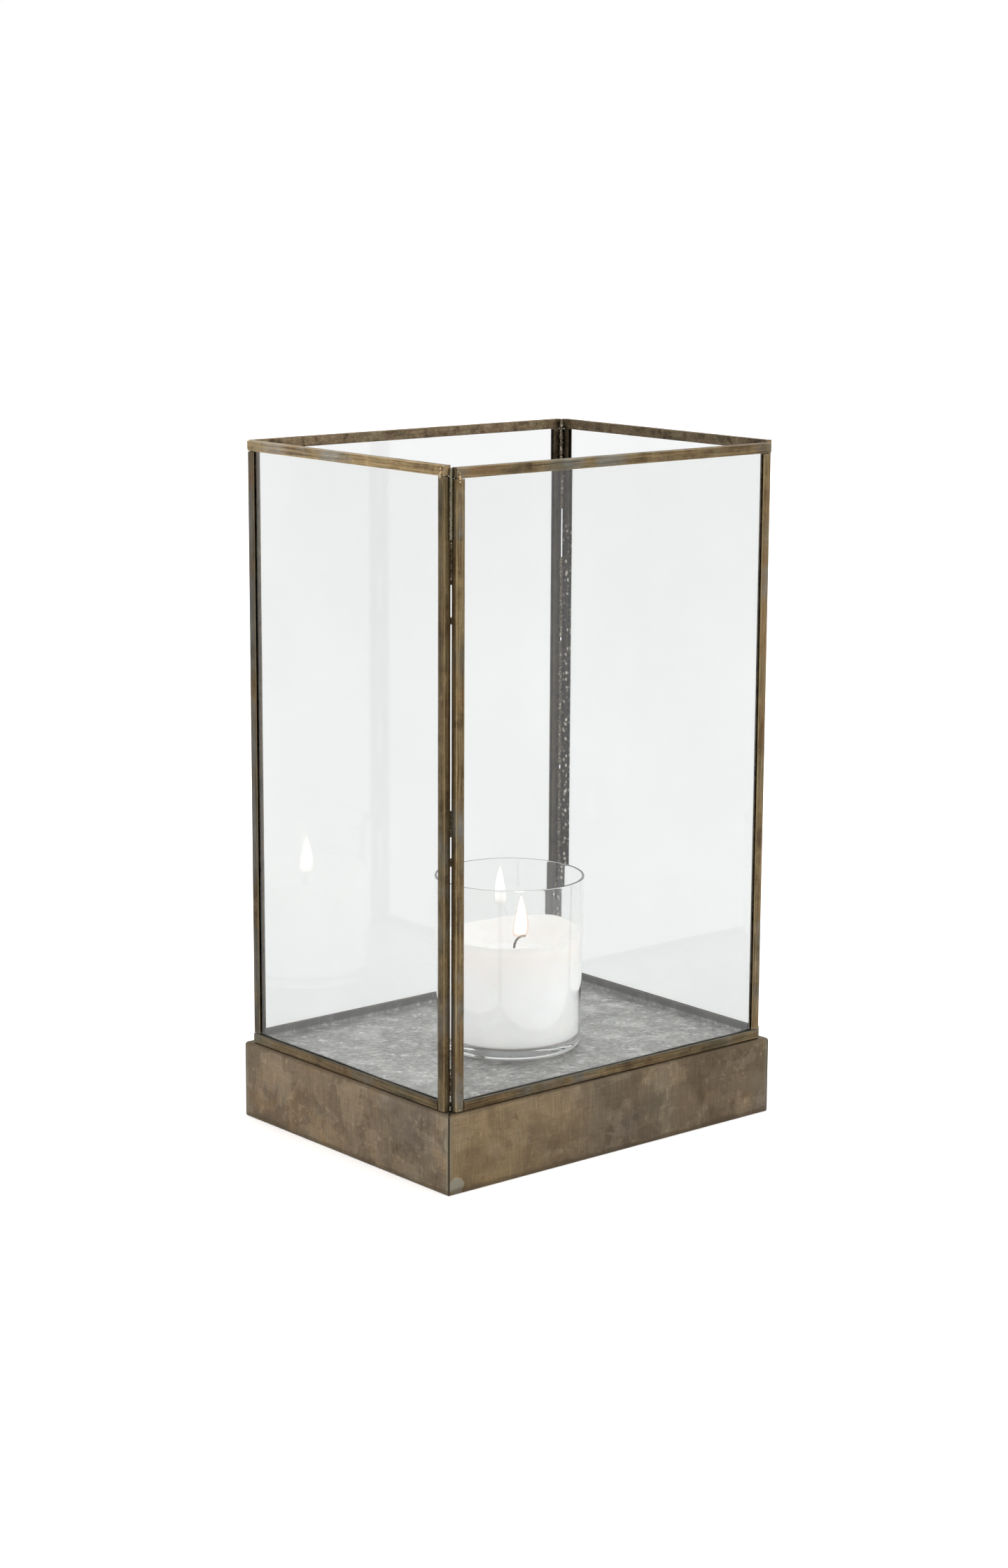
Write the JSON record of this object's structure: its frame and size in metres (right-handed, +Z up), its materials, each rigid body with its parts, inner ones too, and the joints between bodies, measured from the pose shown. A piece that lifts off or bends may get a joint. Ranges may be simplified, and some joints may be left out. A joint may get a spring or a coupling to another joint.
{
  "type": "candle lantern",
  "caption": "Open-topped lantern of soldered glass panels standing loosely on a folded brass plinth, with a zinc tray and a wax candle in a glass cup.",
  "frame": {"origin": "centre of the plinth's underside", "axes": "+Z up, +X along the long side, front panel facing -Y"},
  "size_m": [0.2144, 0.1664, 0.35],
  "materials": {
    "came_brass": "antique patina, brushed and blotched",
    "pane_glass": "clear float glass, faint green edge",
    "solder": "dull lumpy solder with bright specks",
    "plinth_brass": "dark antique brass sheet, cross-brushed",
    "tray_zinc": "dull zinc with pale spangles",
    "cup_glass": "clear polished glass with a thick foot",
    "wax": "white translucent wax",
    "wick": "charred cotton braid",
    "wick_tab": "plain pressed metal"
  },
  "bodies": {
    "base": {"plinth_back": "plinth_brass", "plinth_front": "plinth_brass", "plinth_left": "plinth_brass", "plinth_right": "plinth_brass", "plinth_solder_back_left": "solder", "plinth_solder_back_right": "solder", "plinth_solder_front_left": "solder", "plinth_solder_front_right": "solder", "tray": "tray_zinc"},
    "glass_cover": {"back_pane": "pane_glass", "back_rail_bottom": "came_brass", "back_rail_top": "came_brass", "back_stile_left": "came_brass", "back_stile_right": "came_brass", "front_pane": "pane_glass", "front_rail_bottom": "came_brass", "front_rail_top": "came_brass", "front_stile_left": "came_brass", "front_stile_right": "came_brass", "left_pane": "pane_glass", "left_rail_bottom": "came_brass", "left_rail_top": "came_brass", "left_stile_left": "came_brass", "left_stile_right": "came_brass", "right_pane": "pane_glass", "right_rail_bottom": "came_brass", "right_rail_top": "came_brass", "right_stile_left": "came_brass", "right_stile_right": "came_brass", "solder_back_left_bottom": "solder", "solder_back_left_lower": "solder", "solder_back_left_middle": "solder", "solder_back_left_top": "solder", "solder_back_left_upper": "solder", "solder_back_right_bottom": "solder", "solder_back_right_lower": "solder", "solder_back_right_middle": "solder", "solder_back_right_top": "solder", "solder_back_right_upper": "solder", "solder_front_left_bottom": "solder", "solder_front_left_lower": "solder", "solder_front_left_middle": "solder", "solder_front_left_top": "solder", "solder_front_left_upper": "solder", "solder_front_right_bottom": "solder", "solder_front_right_lower": "solder", "solder_front_right_middle": "solder", "solder_front_right_top": "solder", "solder_front_right_upper": "solder"},
    "candle": {"candle_cup": "cup_glass", "wax": "wax", "wick": "wick", "wick_tab": "wick_tab"}
  },
  "joints": [
    {"name": "cover_lift", "type": "slide", "parent": "base", "child": "glass_cover", "axis": [0, 0, 1], "range_m": [0, 0.12]},
    {"name": "candle_lift", "type": "slide", "parent": "base", "child": "candle", "axis": [0, 0, 1], "range_m": [0, 0.32]}
  ]
}
